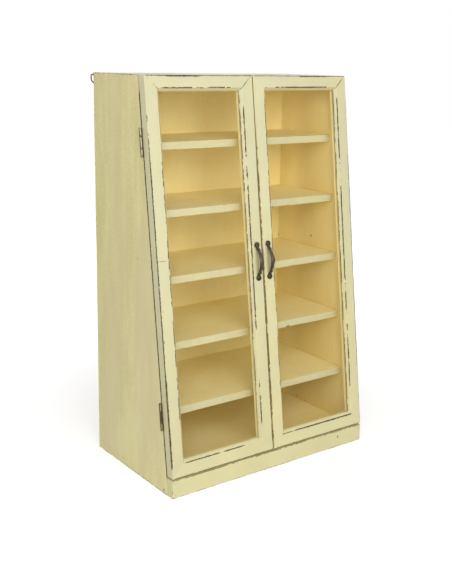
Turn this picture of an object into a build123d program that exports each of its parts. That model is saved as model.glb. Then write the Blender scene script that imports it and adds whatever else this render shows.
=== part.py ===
from build123d import *
import os
from math import atan2, cos, sin, tan

# Wall display cabinet: a case with a slanted front, five fixed shelves behind two glazed doors,
# and a ring at each top back corner to hang it by.
# Millimetres. X runs across the front, +Y towards the wall, +Z up.
# The origin is on the floor, under the middle of the case.

# Overall size
width = 500.0
depth = 295.0
top_depth = 193.0
height = 800.0

# Case boards
side_thick = 15.0
top_thick = 15.0
bottom_thick = 15.0
plinth_high = 37.0
plinth_thick = 20.0
back_thick = 4.0
back_lap = 6.0
back_play = 0.3
back_lift = 1.0

# Fixed shelves, counted from the bottom up
shelf_count = 5
shelf_thick = 15.0
shelf_first_top = 159.5
shelf_pitch = 128.6
shelf_setback = 19.0
shelf_end_gap = 0.8
shelf_round = 1.2

# Doors
door_thick = 20.0
door_back_gap = 1.0
door_plinth_gap = 4.0
door_middle_gap = 2.5

# Door frame moulding and glazing
frame_wide = 31.5
frame_bevel = 5.5
frame_round = 0.8
lip_thick = 7.5
rebate_wide = 7.0
glass_thick = 3.0
glass_play = 0.5
bead_deep = 6.5
bead_bevel = 2.0

# Butt hinges
hinge_long = 54.0
hinge_from_end = 121.0
knuckle_radius = 3.0
knuckle_clear = 0.3
middle_knuckle_long = 22.0
knuckle_play = 0.15
pin_radius = 1.5
pin_play = 0.05
leaf_thick = 1.2
leaf_reach = 15.3
leaf_gap = 0.3
leaf_play = 0.2
leaf_screw_in = 9.5
leaf_screw_spread = 18.0

# Hinge screws
screw_radius = 1.5
screw_head_radius = 2.6
screw_long = 13.0
screw_play = 0.05

# Bow handles
handle_up = 396.0
handle_span = 67.0
pad_radius = 6.0
pad_thick = 2.5
pad_bevel = 0.6
dome_radius = 3.6
dome_high = 2.4
dome_clear = 1.4
bow_foot = 2.2
bow_reach = 15.0
bow_neck_wide = 2.6
bow_neck_deep = 2.0
bow_middle_wide = 5.0
bow_middle_deep = 3.4
bow_sections = 9
neck_ball_radius = 4.0
neck_ball_share = 0.87
handle_screw_radius = 1.8
handle_screw_long = 14.0
slot_wide = 0.9
slot_deep = 0.9

# Dowels between the boards and the sides
dowel_radius = 3.0
dowel_in_side = 9.0
dowel_in_board = 15.0
dowel_inset = 32.0
dowel_play = 0.1
dowel_end_play = 0.5

# Nails of the plinth board and pins of the back panel
nail_radius = 1.0
nail_head_radius = 1.8
nail_head_thick = 0.9
nail_long = 38.0
nail_low = 7.0
nail_high = 30.0
back_pin_radius = 0.7
back_pin_head_radius = 1.8
back_pin_head_thick = 0.8
back_pin_long = 16.0
back_pin_play = 0.05
back_pin_rows = 7
back_pin_end = 40.0
back_pin_columns = 3
back_pin_column_pitch = 150.0

# Strap hangers with their rings
hanger_in = 6.0
hanger_down = 4.0
strap_wide = 9.0
strap_thick = 1.2
strap_long = 27.0
strap_corner = 3.0
strap_screw_down = 21.5
hanger_screw_long = 14.0
hanger_head_high = 1.7
hanger_head_round = 0.8
wire_radius = 1.25
ring_half_wide = 10.0
ring_drop = 16.5
ring_top_corner = 2.5
ring_low_corner = 9.0
ring_lift = 0.3
ring_play = 0.08
eye_wall = 1.2

# Places that follow from the sizes above
half_width = width / 2
inner_half = half_width - side_thick
front_y = -depth / 2
back_y = depth / 2
back_face_y = back_y - back_thick
door_low = plinth_high + door_plinth_gap
slant = atan2(depth - top_depth, height - door_low)
across = Vector(1, 0, 0)
up_slope = Vector(0, sin(slant), cos(slant))
outward = Vector(0, -cos(slant), sin(slant))
door_long = (height - door_low + door_thick * sin(slant)) / cos(slant)
door_outer_x = -half_width
door_inner_x = -door_middle_gap / 2
pin_x = -(half_width + knuckle_radius + knuckle_clear)
handle_x = door_inner_x - (frame_wide - frame_bevel) / 2
plinth_back_y = front_y + plinth_thick
strap_x = -(half_width - hanger_in)
ring_pivot_out = strap_thick + ring_lift + wire_radius
ring_pivot_z = height - hanger_down
inner_side = Plane(origin=(-inner_half, 0, 0), x_dir=(0, 1, 0), z_dir=(1, 0, 0))
rear = Plane(origin=(0, back_y, 0), x_dir=(-1, 0, 0), z_dir=(0, 1, 0))

os.makedirs("parts", exist_ok=True)


def face_point(x, up, behind=0.0):
    # A point at x, so far up the slope of the doors' front and so far behind it.
    return Vector(0, front_y, door_low) + across * x + up_slope * up - outward * behind


def case_front(z):
    # How far back the case's slanted front edge lies at height z.
    behind = (door_thick + door_back_gap) / cos(slant)
    return front_y + (z - door_low) * tan(slant) + behind


def save(piece, name):
    piece.part.label = name
    export_step(piece.part, f"parts/{name}.step")


def save_pair(piece, name):
    # The cabinet is symmetrical, so each left piece has its mirror image on the right.
    save(piece, name.format("left"))
    with BuildPart() as other:
        mirror(piece.part, about=Plane.YZ)
    save(other, name.format("right"))


def shelf_top(number):
    return shelf_first_top + (number - 1) * shelf_pitch


def shelf_front(number):
    return case_front(shelf_top(number)) + shelf_setback


# Dowel places, as (y, z) on the inner face of a side
def dowel_places(board_front, board_middle):
    return [(board_front + dowel_inset, board_middle), (back_face_y - dowel_inset, board_middle)]


top_middle = height - top_thick / 2
bottom_middle = plinth_high - bottom_thick / 2
top_dowels = dowel_places(case_front(top_middle), top_middle)
bottom_dowels = dowel_places(plinth_back_y, bottom_middle)
shelf_numbers = range(1, shelf_count + 1)
shelf_dowels = []
for number in shelf_numbers:
    shelf_dowels += dowel_places(shelf_front(number), shelf_top(number) - shelf_thick / 2)

# Pin places of the back panel, as (x, z) seen from behind; they are the same on both halves
pin_pitch = (height - 2 * back_pin_end) / (back_pin_rows - 1)
side_pins = [(inner_half + back_lap / 2, back_pin_end + row * pin_pitch) for row in range(back_pin_rows)]
pin_columns = [(column - (back_pin_columns - 1) / 2) * back_pin_column_pitch
               for column in range(back_pin_columns)]
top_pins = [(x, top_middle) for x in pin_columns]
bottom_pins = [(x, bottom_middle) for x in pin_columns]
shelf_pins = [[(x, shelf_top(number) - shelf_thick / 2) for x in pin_columns] for number in shelf_numbers]
mirrored_side_pins = [(-x, z) for x, z in side_pins]
all_pins = side_pins + mirrored_side_pins + top_pins + bottom_pins + sum(shelf_pins, [])


def cut_pin_holes(places):
    # Holes for the back pins, from the outer face of the back panel through what lies in front.
    with BuildSketch(rear) as holes:
        with Locations(*places):
            Circle(back_pin_radius + back_pin_play)
    extrude(holes.sketch, amount=-back_pin_long - back_pin_play, mode=Mode.SUBTRACT)


# Hinge places: a plane at the middle of each pin, its z along the pin and its y into the case
hinge_middles = [hinge_from_end, (height - door_low) / cos(slant) - hinge_from_end]
pin_behind = door_thick + door_back_gap / 2
hinge_planes = []
for middle in hinge_middles:
    hinge_planes.append(Plane(origin=face_point(pin_x, middle, pin_behind), x_dir=across, z_dir=up_slope))


def leaf_screw_planes(at, side):
    # Where the screws of one leaf start, each z_dir out of its head; side is 1 on the case, -1 on the door.
    spots = []
    for along in (-leaf_screw_spread, 0.0, leaf_screw_spread):
        start = at.from_local_coords((leaf_screw_in, side * leaf_gap / 2, along))
        spots.append(Plane(origin=start, x_dir=at.z_dir, z_dir=at.y_dir * -side))
    return spots


def cut_leaf_seat(at, side):
    # The recess that lets a leaf into the wood, and the holes for its screws.
    deep = leaf_gap / 2 + leaf_thick
    with BuildSketch(at.offset(-hinge_long / 2 - leaf_play)) as seat:
        with Locations((0, side * deep / 2)):
            Rectangle(2 * (leaf_reach + leaf_play), deep)
    extrude(seat.sketch, amount=hinge_long + 2 * leaf_play, mode=Mode.SUBTRACT)
    hole_deep = screw_long + screw_play
    with Locations(*leaf_screw_planes(at, side)):
        Cylinder(screw_radius + screw_play, hole_deep, align=head_down, mode=Mode.SUBTRACT)


head_down = (Align.CENTER, Align.CENTER, Align.MAX)
foot_down = (Align.CENTER, Align.CENTER, Align.MIN)

# Where the plinth board's nails and the strap hangers' screws go in, each z_dir out of the head
side_middle = half_width - side_thick / 2
nail_planes = []
for x in (-side_middle, side_middle):
    for z in (nail_low, nail_high):
        nail_planes.append(Plane(origin=(x, front_y, z), z_dir=(0, -1, 0)))
hanger_screw_plane = Plane(origin=(strap_x, back_y + strap_thick, ring_pivot_z - strap_screw_down),
                           z_dir=(0, 1, 0))

# Sides: boards with a slanted front edge, rebated for the back panel
plinth_top_front = case_front(plinth_high)
with BuildPart() as side:
    with BuildSketch(inner_side):
        with BuildLine():
            Polyline((plinth_back_y, 0), (back_y, 0), (back_y, height), (case_front(height), height),
                     (plinth_top_front, plinth_high), (plinth_back_y, plinth_high), close=True)
        make_face()
    extrude(amount=-side_thick)
    with BuildSketch(inner_side):
        with Locations((back_y - back_thick / 2, height / 2)):
            Rectangle(back_thick, height)
    extrude(amount=-back_lap, mode=Mode.SUBTRACT)
    with BuildSketch(inner_side):
        with Locations(*top_dowels, *bottom_dowels, *shelf_dowels):
            Circle(dowel_radius + dowel_play)
    extrude(amount=-dowel_in_side - dowel_end_play, mode=Mode.SUBTRACT)
    for at in hinge_planes:
        cut_leaf_seat(at, 1)
    cut_pin_holes(side_pins)
    with Locations(hanger_screw_plane):
        Cylinder(screw_radius + screw_play, hanger_screw_long, align=head_down, mode=Mode.SUBTRACT)
    with Locations(*nail_planes):
        Cylinder(nail_radius + screw_play, nail_long + screw_play, align=head_down, mode=Mode.SUBTRACT)
save_pair(side, "side_{}")


def cut_dowel_holes(places, end_gap):
    # Holes in both ends of a board; the board stops end_gap short of each side.
    hole_deep = dowel_in_board - end_gap + dowel_end_play
    for start, inward in ((end_gap, 1), (2 * inner_half - end_gap, -1)):
        with BuildSketch(inner_side.offset(start)) as holes:
            with Locations(*places):
                Circle(dowel_radius + dowel_play)
        extrude(holes.sketch, amount=inward * hole_deep, mode=Mode.SUBTRACT)


# Top panel, its front edge planed to the slant
top_underside = height - top_thick
with BuildPart() as top_panel:
    with BuildSketch(inner_side):
        with BuildLine():
            Polyline((case_front(top_underside), top_underside), (back_face_y, top_underside),
                     (back_face_y, height), (case_front(height), height), close=True)
        make_face()
    extrude(amount=2 * inner_half)
    cut_dowel_holes(top_dowels, 0)
    cut_pin_holes(top_pins)
save(top_panel, "top_panel")

# Bottom panel, level with the top of the plinth board
with BuildPart() as bottom_panel:
    with BuildSketch(inner_side):
        with Locations(((plinth_back_y + back_face_y) / 2, bottom_middle)):
            Rectangle(back_face_y - plinth_back_y, bottom_thick)
    extrude(amount=2 * inner_half)
    cut_dowel_holes(bottom_dowels, 0)
    cut_pin_holes(bottom_pins)
save(bottom_panel, "bottom_panel")

# Back panel, let into the rebates of the sides
with BuildPart() as back_panel:
    panel_wide = 2 * (inner_half + back_lap - back_play)
    with BuildSketch(rear):
        with Locations((0, (height + back_lift) / 2)):
            Rectangle(panel_wide, height - back_lift)
    extrude(amount=-back_thick)
    cut_pin_holes(all_pins)
    with BuildSketch(rear):
        with Locations(*all_pins):
            Circle(back_pin_head_radius + back_pin_play)
    extrude(amount=-back_pin_head_thick, mode=Mode.SUBTRACT)
save(back_panel, "back_panel")

# Plinth board across the front of the sides
with BuildPart() as plinth_board:
    with BuildSketch(Plane.XY):
        with Locations((0, front_y + plinth_thick / 2)):
            Rectangle(width, plinth_thick)
    extrude(amount=plinth_high)
    front_edges = plinth_board.faces().sort_by(Axis.Y)[0].edges()
    fillet(front_edges, frame_round)
    with Locations(*nail_planes):
        Cylinder(nail_radius + screw_play, plinth_thick, align=head_down, mode=Mode.SUBTRACT)
        Cylinder(nail_head_radius + screw_play, nail_head_thick, align=head_down, mode=Mode.SUBTRACT)
save(plinth_board, "plinth_board")

with BuildPart() as plinth_nails:
    with Locations(*nail_planes):
        Cylinder(nail_radius, nail_long, align=head_down)
        Cylinder(nail_head_radius, nail_head_thick, align=head_down)
save(plinth_nails, "plinth_nails")

with BuildPart() as back_pins:
    with BuildSketch(rear):
        with Locations(*all_pins):
            Circle(back_pin_radius)
    extrude(amount=-back_pin_long)
    with BuildSketch(rear):
        with Locations(*all_pins):
            Circle(back_pin_head_radius)
    extrude(amount=-back_pin_head_thick)
save(back_pins, "back_pins")

# Shelves: each is deeper than the one above, because its front edge follows the slant
for number in shelf_numbers:
    middle = shelf_top(number) - shelf_thick / 2
    with BuildPart() as shelf:
        with BuildSketch(inner_side.offset(shelf_end_gap)):
            with Locations(((shelf_front(number) + back_face_y) / 2, middle)):
                Rectangle(back_face_y - shelf_front(number), shelf_thick)
        extrude(amount=2 * (inner_half - shelf_end_gap))
        fillet(shelf.faces().sort_by(Axis.Y)[0].edges().filter_by(Axis.X), shelf_round)
        cut_dowel_holes(dowel_places(shelf_front(number), middle), shelf_end_gap)
        cut_pin_holes(shelf_pins[number - 1])
    save(shelf, f"shelf_{number}")


def make_dowels(places):
    # Dowels in the left side and their mirror images in the right one.
    with BuildPart() as dowels:
        with BuildSketch(inner_side.offset(-dowel_in_side)):
            with Locations(*places):
                Circle(dowel_radius)
        extrude(amount=dowel_in_side + dowel_in_board)
        mirror(about=Plane.YZ)
    return dowels


save(make_dowels(top_dowels + bottom_dowels), "panel_dowels")
save(make_dowels(shelf_dowels), "shelf_dowels")


# Butt hinges of three knuckles: the leaf on the case has the two ends, the leaf on the door the middle
knuckle_bounds = [-hinge_long / 2, -middle_knuckle_long / 2, middle_knuckle_long / 2, hinge_long / 2]


def make_leaf(at, side, knuckles):
    leaf_y = side * (leaf_gap + leaf_thick) / 2
    plate_start = knuckle_radius + knuckle_clear
    with BuildPart() as leaf:
        with BuildSketch(at.offset(-hinge_long / 2)):
            with Locations(((plate_start + leaf_reach) / 2, leaf_y)):
                Rectangle(leaf_reach - plate_start, leaf_thick)
        extrude(amount=hinge_long)
        for knuckle in knuckles:
            start = knuckle_bounds[knuckle] + knuckle_play / 2
            end = knuckle_bounds[knuckle + 1] - knuckle_play / 2
            with BuildSketch(at.offset(start)):
                Circle(knuckle_radius)
                with Locations((plate_start / 2, leaf_y)):
                    Rectangle(plate_start, leaf_thick)
                Circle(pin_radius + pin_play, mode=Mode.SUBTRACT)
            extrude(amount=end - start)
        with Locations(*leaf_screw_planes(at, side)):
            CounterSinkHole(screw_radius + screw_play, screw_head_radius + screw_play,
                            depth=leaf_thick, counter_sink_angle=90)
    return leaf


def add_leaf_screws(at, side):
    # Countersunk screws, their heads level with the face of the leaf.
    head_high = screw_head_radius - screw_radius
    with Locations(*leaf_screw_planes(at, side)):
        Cone(screw_radius, screw_head_radius, head_high, align=head_down)
        Cylinder(screw_radius, screw_long, align=head_down)


for at, place in zip(hinge_planes, ("lower", "upper")):
    save_pair(make_leaf(at, 1, [0, 2]), "hinge_case_leaf_{}_" + place)
    save_pair(make_leaf(at, -1, [1]), "hinge_door_leaf_{}_" + place)
    with BuildPart() as hinge_pin:
        with BuildSketch(at.offset(-hinge_long / 2)):
            Circle(pin_radius)
        extrude(amount=hinge_long)
    save_pair(hinge_pin, "hinge_pin_{}_" + place)

with BuildPart() as hinge_door_screws:
    for at in hinge_planes:
        add_leaf_screws(at, -1)
save_pair(hinge_door_screws, "hinge_door_screws_{}")

with BuildPart() as hinge_case_screws:
    for at in hinge_planes:
        add_leaf_screws(at, 1)
    mirror(about=Plane.YZ)
save(hinge_case_screws, "hinge_case_screws")


# Door frame. A bar runs along from a corner; its section is drawn inward and back from that corner,
# and both ends are mitred.
def mitred_bar(corner, along, inward, long, outline, rounds):
    with BuildPart() as bar:
        with BuildSketch(Plane(origin=corner, x_dir=inward, z_dir=along)):
            with BuildLine():
                FilletPolyline(*outline, radius=rounds, close=True)
            make_face()
        extrude(amount=long)
        split(bisect_by=Plane(origin=corner, z_dir=along - inward), keep=Keep.TOP)
        split(bisect_by=Plane(origin=corner + along * long, z_dir=-along - inward), keep=Keep.TOP)
        split(bisect_by=Plane.XY.offset(door_low), keep=Keep.TOP)
        split(bisect_by=Plane.XY.offset(height), keep=Keep.BOTTOM)
    return bar


def four_bars(inset, outline, rounds):
    # The outer, top, meeting and bottom bars of a rectangle that lies inset from the left door's edges.
    left = door_outer_x + inset
    right = door_inner_x - inset
    low = inset
    high = door_long - inset
    wide = right - left
    tall = high - low
    return {
        "outer": mitred_bar(face_point(left, low), up_slope, across, tall, outline, rounds),
        "top": mitred_bar(face_point(left, high), across, -up_slope, wide, outline, rounds),
        "meeting": mitred_bar(face_point(right, high), -up_slope, -across, tall, outline, rounds),
        "bottom": mitred_bar(face_point(right, low), -across, up_slope, wide, outline, rounds),
    }


rebate_start = frame_wide - rebate_wide
frame_outline = [(0, 0), (frame_wide - frame_bevel, 0), (frame_wide, frame_bevel), (frame_wide, lip_thick),
                 (rebate_start, lip_thick), (rebate_start, door_thick), (0, door_thick)]
frame_rounds = [frame_round, frame_round, 0, 0, 0, 0, frame_round]
frame_bars = four_bars(0, frame_outline, frame_rounds)

with BuildPart() as stile_outer:
    add(frame_bars["outer"].part)
    for at in hinge_planes:
        cut_leaf_seat(at, -1)
save_pair(stile_outer, "door_{}_stile_outer")

# The handle is placed on the flat of the meeting stile; its plane has z out of the door.
handle_at = Plane(origin=face_point(handle_x, handle_up), x_dir=across, z_dir=outward)
pad_places = [(0, -handle_span / 2), (0, handle_span / 2)]
pad_tops = [handle_at.offset(pad_thick).from_local_coords((x, y, 0)) for x, y in pad_places]
pad_top_planes = [Plane(origin=top, x_dir=across, z_dir=outward) for top in pad_tops]

with BuildPart() as stile_meeting:
    add(frame_bars["meeting"].part)
    with BuildSketch(handle_at):
        with Locations(*pad_places):
            Circle(handle_screw_radius + screw_play)
    extrude(amount=-handle_screw_long, mode=Mode.SUBTRACT)
save_pair(stile_meeting, "door_{}_stile_meeting")
save_pair(frame_bars["top"], "door_{}_rail_top")
save_pair(frame_bars["bottom"], "door_{}_rail_bottom")

# Glass pane in the rebate, and the mitred beads that hold it from behind
pane_wide = door_inner_x - door_outer_x - 2 * (rebate_start + glass_play)
pane_tall = door_long - 2 * (rebate_start + glass_play)
pane_middle = face_point((door_outer_x + door_inner_x) / 2, door_long / 2, lip_thick)
with BuildPart() as glass:
    with BuildSketch(Plane(origin=pane_middle, x_dir=across, z_dir=outward)):
        Rectangle(pane_wide, pane_tall)
    extrude(amount=-glass_thick)
save_pair(glass, "door_{}_glass")

bead_front = lip_thick + glass_thick
bead_back = bead_front + bead_deep
bead_outline = [(0, bead_front), (rebate_wide, bead_front), (rebate_wide, bead_back - bead_bevel),
                (rebate_wide - bead_bevel, bead_back), (0, bead_back)]
for place, bead in four_bars(rebate_start, bead_outline, [0] * len(bead_outline)).items():
    save_pair(bead, "door_{}_bead_" + place)

# Bow handle: two round pads, and a bow that widens towards its middle, with a ball at each neck.
# The bow's feet stand on the pads, clear of the screws' domes.
bow_half = handle_span / 2 - dome_radius - dome_clear


def bow_plane(share):
    # The plane square to the bow's curve; share runs from -1 at its lower foot to 1 at its upper one.
    out = bow_foot + (bow_reach - bow_foot) * (1 - share ** 2)
    steep = -2 * share * (bow_reach - bow_foot) / bow_half
    return Plane(origin=handle_at.from_local_coords((0, share * bow_half, out)), x_dir=across,
                 z_dir=up_slope + outward * steep)


with BuildPart() as handle:
    with BuildSketch(handle_at):
        with Locations(*pad_places):
            Circle(pad_radius)
    extrude(amount=pad_thick)
    pad_faces = handle.faces().group_by(lambda face: face.center().dot(outward))
    chamfer(pad_faces[-1].edges(), pad_bevel)
    for step in range(bow_sections):
        share = 2 * step / (bow_sections - 1) - 1
        rise = 1 - share ** 2
        with BuildSketch(bow_plane(share)):
            Ellipse(bow_neck_wide + (bow_middle_wide - bow_neck_wide) * rise,
                    bow_neck_deep + (bow_middle_deep - bow_neck_deep) * rise)
    loft()
    for share in (-neck_ball_share, neck_ball_share):
        neck = bow_plane(share)
        with BuildSketch(Plane(origin=neck.origin, x_dir=neck.z_dir, z_dir=neck.x_dir)):
            with BuildLine():
                half_ring = CenterArc((0, 0), neck_ball_radius, 0, 180)
                Line(half_ring @ 1, half_ring @ 0)
            make_face()
        revolve(axis=Axis(neck.origin, neck.z_dir))
    with BuildSketch(*pad_top_planes):
        Circle(handle_screw_radius + screw_play)
    extrude(amount=-pad_thick, mode=Mode.SUBTRACT)
save_pair(handle, "handle_{}")

# Dome-headed screws of the handle, slotted
with BuildPart() as handle_screws:
    with Locations(*pad_top_planes):
        Cylinder(handle_screw_radius, pad_thick + handle_screw_long, align=head_down)
    dome_ball = (dome_radius ** 2 + dome_high ** 2) / (2 * dome_high)
    for spot in pad_top_planes:
        with BuildSketch(Plane(origin=spot.origin, x_dir=across, z_dir=up_slope)):
            with BuildLine():
                Line((0, 0), (dome_radius, 0))
                RadiusArc((dome_radius, 0), (0, -dome_high), dome_ball)
                Line((0, -dome_high), (0, 0))
            make_face()
        revolve(axis=Axis(spot.origin, outward))
    with BuildSketch(*[spot.offset(dome_high) for spot in pad_top_planes]):
        Rectangle(2 * dome_radius, slot_wide)
    extrude(amount=-slot_deep, mode=Mode.SUBTRACT)
save_pair(handle_screws, "handle_screws_{}")

# Strap hangers: a small plate with an eye, screwed to the back edge of each side
eye_bore = wire_radius + ring_play
with BuildPart() as hanger_strap:
    with BuildSketch(Plane(origin=(strap_x - strap_wide / 2, back_y, ring_pivot_z), x_dir=(0, 1, 0),
                           z_dir=(1, 0, 0))):
        with Locations((ring_pivot_out, 0)):
            Circle(eye_bore + eye_wall)
        with Locations((strap_thick / 2, -strap_long / 2)):
            Rectangle(strap_thick, strap_long)
        with Locations((ring_pivot_out, 0)):
            Circle(eye_bore, mode=Mode.SUBTRACT)
    extrude(amount=strap_wide)
    fillet(hanger_strap.edges().filter_by(Axis.Y).group_by(Axis.Z)[0], strap_corner)
    with Locations(hanger_screw_plane):
        Hole(screw_radius + screw_play, depth=strap_thick)
save_pair(hanger_strap, "hanger_strap_{}")

with BuildPart() as hanger_screws:
    with Locations(hanger_screw_plane):
        Cylinder(screw_radius, hanger_screw_long, align=head_down)
        Cylinder(screw_head_radius, hanger_head_high, align=foot_down)
    fillet(hanger_screws.faces().sort_by(Axis.Y)[-1].edges(), hanger_head_round)
    mirror(about=Plane.YZ)
save(hanger_screws, "hanger_screws")

# Wire ring: its straight bar turns in the eye of the strap, and it hangs down behind the case
with BuildPart() as hanger_ring:
    with BuildLine(Plane(origin=(strap_x, back_y + ring_pivot_out, ring_pivot_z), x_dir=(-1, 0, 0),
                         z_dir=(0, 1, 0))) as ring_path:
        FilletPolyline((0, 0), (ring_half_wide, 0), (ring_half_wide, -ring_drop),
                       (-ring_half_wide, -ring_drop), (-ring_half_wide, 0),
                       radius=[0, ring_top_corner, ring_low_corner, ring_low_corner, ring_top_corner],
                       close=True)
    with BuildSketch(Plane(origin=(strap_x, back_y + ring_pivot_out, ring_pivot_z), z_dir=(-1, 0, 0))):
        Circle(wire_radius)
    sweep(path=ring_path.wire())
save_pair(hanger_ring, "hanger_ring_{}")
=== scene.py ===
from math import atan2, cos, pi, sin

import bpy
from mathutils import Matrix, Vector


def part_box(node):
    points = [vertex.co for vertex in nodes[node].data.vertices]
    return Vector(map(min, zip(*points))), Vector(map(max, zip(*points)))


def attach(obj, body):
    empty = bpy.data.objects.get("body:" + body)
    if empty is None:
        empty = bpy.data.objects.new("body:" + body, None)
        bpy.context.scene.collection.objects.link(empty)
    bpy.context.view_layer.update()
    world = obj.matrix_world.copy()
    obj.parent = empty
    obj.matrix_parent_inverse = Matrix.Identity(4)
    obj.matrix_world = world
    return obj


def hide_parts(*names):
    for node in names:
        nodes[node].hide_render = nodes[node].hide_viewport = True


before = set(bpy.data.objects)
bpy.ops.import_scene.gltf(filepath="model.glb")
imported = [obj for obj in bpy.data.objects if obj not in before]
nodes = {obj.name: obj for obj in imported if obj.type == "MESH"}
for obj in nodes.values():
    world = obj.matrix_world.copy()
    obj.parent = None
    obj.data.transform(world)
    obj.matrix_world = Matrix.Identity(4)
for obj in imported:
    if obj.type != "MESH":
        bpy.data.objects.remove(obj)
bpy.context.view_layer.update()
print("cabinet loaded:", len(nodes), "parts")

# The cabinet's own measures, in metres
cabinet = {
    "halfWidth": 0.250,
    "back": 0.1475,
    "high": 0.800,
    "boardThick": 0.015,
    "plinthHigh": 0.037,
    "doorLow": 0.041,       # the doors' lower edge
    "doorFront": -0.1475,   # where the slanted front starts, at doorLow
    "slant": atan2(0.102, 0.759),   # 102 mm back over 759 mm up
    "doorThick": 0.020,
    "doorGap": 0.001,       # between the doors' backs and the case
    "doorLong": 0.7685,
    "middleGap": 0.0025,
    "frameWide": 0.0315,
    "frameBevel": 0.0055,
    "handleOut": 0.01425,   # from the middle of the case
    "handleUp": 0.396,      # up the slope
}


def toLinear(red, green, blue):
    # Picture colours from 0 to 255, as the shaders want them.
    shares = []
    for value in (red, green, blue):
        value /= 255
        shares.append(value / 12.92 if value <= 0.04045 else ((value + 0.055) / 1.055) ** 2.4)
    return (*shares, 1.0)


tree = None   # the node tree that is being drawn: newGroup and newMaterial start one


def feed(node, name, value):
    # A socket gets a link, anything else is typed into the box.
    if isinstance(value, bpy.types.NodeSocket):
        tree.links.new(value, node.inputs[name])
    else:
        node.inputs[name].default_value = value


def addNode(kind, settings=None, values=None):
    node = tree.nodes.new(kind)
    row, column = divmod(len(tree.nodes), 12)   # laid out in rows, to be read in the editor
    node.location = (column * 190, -row * 260)
    for name, value in (settings or {}).items():
        setattr(node, name, value)
    for name, value in (values or {}).items():
        feed(node, name, value)
    return node


def maths(operation, *values, clamp=False):
    node = addNode("ShaderNodeMath", {"operation": operation, "use_clamp": clamp})
    for number, value in enumerate(values):
        feed(node, number, value)
    return node.outputs[0]


def plus(one, other):
    return maths("ADD", one, other)


def minus(one, other):
    return maths("SUBTRACT", one, other)


def apart(one, other):
    # How far two measures lie from each other, whichever is the larger.
    return maths("ABSOLUTE", minus(one, other))


def times(*values):
    total = values[0]
    for value in values[1:]:
        total = maths("MULTIPLY", total, value)
    return total


def most(values):
    total = values[0]
    for value in values[1:]:
        total = maths("MAXIMUM", total, value)
    return total


def ramp(value, low, high, start=0.0, end=1.0, smooth=True):
    node = addNode("ShaderNodeMapRange", {"interpolation_type": "SMOOTHSTEP" if smooth else "LINEAR"})
    for number, item in enumerate((value, low, high, start, end)):
        feed(node, number, item)
    return node.outputs["Result"]


def fade(value, low, high, start=1.0):
    # A ramp that runs out to nothing.
    return ramp(value, low, high, start, 0.0)


def stretch(vector, scale, operation="MULTIPLY"):
    return addNode("ShaderNodeVectorMath", {"operation": operation}, {0: vector, 1: scale}).outputs[0]


def noise(vector, scale, detail=2.0, roughness=0.5):
    values = {"Vector": vector, "Scale": scale, "Detail": detail, "Roughness": roughness}
    return addNode("ShaderNodeTexNoise", values=values).outputs["Fac"]


def cloud(vector, look, what, smooth=True):
    # A noise and the part of it that counts, as a piece's settings give them.
    return ramp(noise(vector, *look[f"{what}Noise"]), *look[f"{what}Range"], smooth=smooth)


def blend(share, one, other):
    node = addNode("ShaderNodeMix", {"data_type": "RGBA"})
    feed(node, 0, share)
    feed(node, 6, one)
    feed(node, 7, other)
    return node.outputs[2]


def newGroup(name, inputs, outputs):
    global tree
    tree = bpy.data.node_groups.new(name, "ShaderNodeTree")
    for label, kind, value in inputs:
        socket = tree.interface.new_socket(label, in_out="INPUT", socket_type=kind)
        if value is not None:
            socket.default_value = value
    for label, kind in outputs:
        tree.interface.new_socket(label, in_out="OUTPUT", socket_type=kind)
    return addNode("NodeGroupInput").outputs, addNode("NodeGroupOutput")


def useGroup(group, **values):
    node = addNode("ShaderNodeGroup", {"node_tree": group})
    for name, value in values.items():
        feed(node, name, value)
    return node.outputs


def newMaterial(name):
    global tree
    material = bpy.data.materials.new(name)
    material.use_nodes = True
    tree = material.node_tree
    tree.nodes.clear()
    return material


def objectPlace():
    return addNode("ShaderNodeTexCoord").outputs["Object"]


def split(vector):
    return addNode("ShaderNodeSeparateXYZ", values={0: vector}).outputs


def surface(colour, roughness, height, relief, **more):
    # The shader that every solid piece ends in; relief says how strong its bumps are.
    bump = addNode("ShaderNodeBump", values={**relief, "Height": height})
    shader = addNode("ShaderNodeBsdfPrincipled", values={
        "Base Color": colour, "Roughness": roughness, "Normal": bump.outputs[0], **more})
    addNode("ShaderNodeOutputMaterial", values={"Surface": shader.outputs[0]})


def dress(material, *names):
    for name in names:
        mesh = nodes[name].data
        mesh.materials.clear()
        mesh.materials.append(material)


numberSocket, vectorSocket, colourSocket = "NodeSocketFloat", "NodeSocketVector", "NodeSocketColor"

# Paint laid on with a brush: faint streaks, softer blotches, patches gone another tint, and fine grit.
# Here and below, a Noise is its scale, detail and roughness, and a Range the part of it that counts.
brushing = {
    "streakNoise": (1.0, 3.0, 0.55), "streakRange": (0.3, 0.7),
    "blotchNoise": (2.2, 4.0, 0.55), "blotchRange": (0.34, 0.66),
    "patchNoise": (1.0, 4.0, 0.6), "patchRange": (0.44, 0.62),
    "speckleNoise": (330.0, 3.0, 0.6), "speckleRange": (0.36, 0.64, -0.30, 0.30),
    "gritNoise": (650.0, 2.0, 0.6),
    "roughness": (0.46, 0.60), "streakHeight": 0.7, "gritHeight": 0.3,
}
given, out = newGroup(
    "brushedCoat",
    [("Vector", vectorSocket, None), ("Brush Scale", vectorSocket, (160.0, 160.0, 6.0)),
     ("Patch Scale", vectorSocket, (6.0, 6.0, 6.0)),
     ("Light Coat", colourSocket, None), ("Deep Coat", colourSocket, None), ("Patch Tint", colourSocket, None),
     ("Depth", numberSocket, 0.5), ("Streaks", numberSocket, 0.5), ("Blotches", numberSocket, 0.5),
     ("Patches", numberSocket, 0.0)],
    [("Color", colourSocket), ("Roughness", numberSocket), ("Height", numberSocket)])
brushedCoat = tree
combed = stretch(given["Vector"], given["Brush Scale"])
streaks = cloud(combed, brushing, "streak", smooth=False)
spread = stretch(given["Vector"], given["Patch Scale"])
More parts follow.
